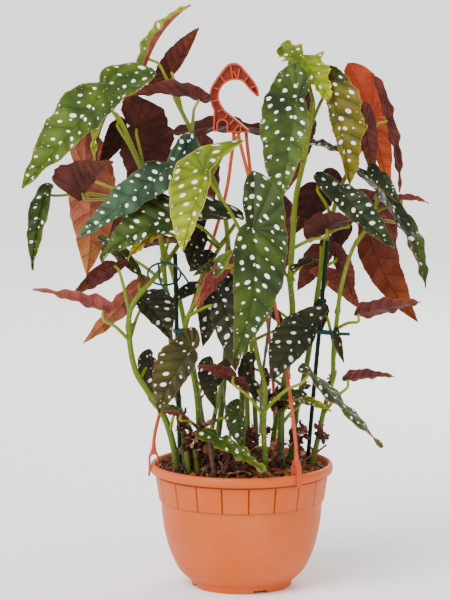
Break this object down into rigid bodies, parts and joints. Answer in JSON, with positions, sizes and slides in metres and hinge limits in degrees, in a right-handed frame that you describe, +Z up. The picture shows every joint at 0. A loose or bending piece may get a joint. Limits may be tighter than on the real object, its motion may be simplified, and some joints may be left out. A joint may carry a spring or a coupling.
{
  "type": "potted polka dot begonia",
  "caption": "House plant with upright canes and large spotted angel-wing leaves, red beneath, in a tiled plastic hanging pot with a three-strand hook hanger.",
  "frame": {"origin": "on the pot's axis in the plane of its foot, 3 mm below the underside of the floor", "axes": "+Z up along the pot's axis; -Y towards the viewer of the picture; +X to the right in it"},
  "size_m": [0.3731, 0.2399, 0.5417],
  "materials": {
    "pot": "satin",
    "soil": "matte",
    "hanger": "satin",
    "stake": "satin",
    "twig": "matte",
    "tie": "satin",
    "cane": "satin",
    "leaf_green": "satin",
    "leaf_yellow": "satin",
    "leaf_maroon": "satin",
    "leaf_coral": "satin",
    "leaf_orange": "satin"
  },
  "bodies": {
    "root": {"pot": "pot", "cane_a": "cane", "cane_b": "cane", "cane_c": "cane", "cane_d": "cane", "cane_e": "cane", "cane_f": "cane", "cane_g": "cane", "cane_h": "cane", "cane_i": "cane", "cane_j": "cane", "leaf_01": "leaf_green", "leaf_02": "leaf_yellow", "leaf_03": "leaf_maroon", "leaf_05": "leaf_maroon", "leaf_06": "leaf_maroon", "leaf_07": "leaf_maroon", "leaf_08": "leaf_yellow", "leaf_09": "leaf_orange", "leaf_10": "leaf_green", "leaf_11": "leaf_maroon", "leaf_12": "leaf_green", "leaf_13": "leaf_green", "leaf_14": "leaf_yellow", "leaf_16": "leaf_green", "leaf_17": "leaf_green", "leaf_18": "leaf_yellow", "leaf_19": "leaf_green", "leaf_20": "leaf_coral", "leaf_21": "leaf_maroon", "leaf_24": "leaf_green", "leaf_26": "leaf_maroon", "leaf_27": "leaf_orange", "leaf_31": "leaf_maroon", "leaf_32": "leaf_maroon", "leaf_33": "leaf_maroon", "leaf_34": "leaf_orange", "leaf_39": "leaf_green", "leaf_48": "leaf_green", "leaf_49": "leaf_green", "leaf_53": "leaf_green", "leaf_b1": "leaf_green", "leaf_b2": "leaf_green", "leaf_b3": "leaf_green", "leaf_b6": "leaf_green", "stake_left": "stake", "stake_right": "stake", "dry_twig": "twig", "stem_stub_1": "cane", "stem_stub_2": "cane", "stem_stub_3": "cane", "soil": "soil", "hanger_hook": "hanger", "hanger_strand_left": "hanger", "hanger_strand_front": "hanger", "hanger_strand_back": "hanger", "tie_wire": "tie", "tie_low": "tie", "tie_right": "tie"}
  },
  "joints": []
}
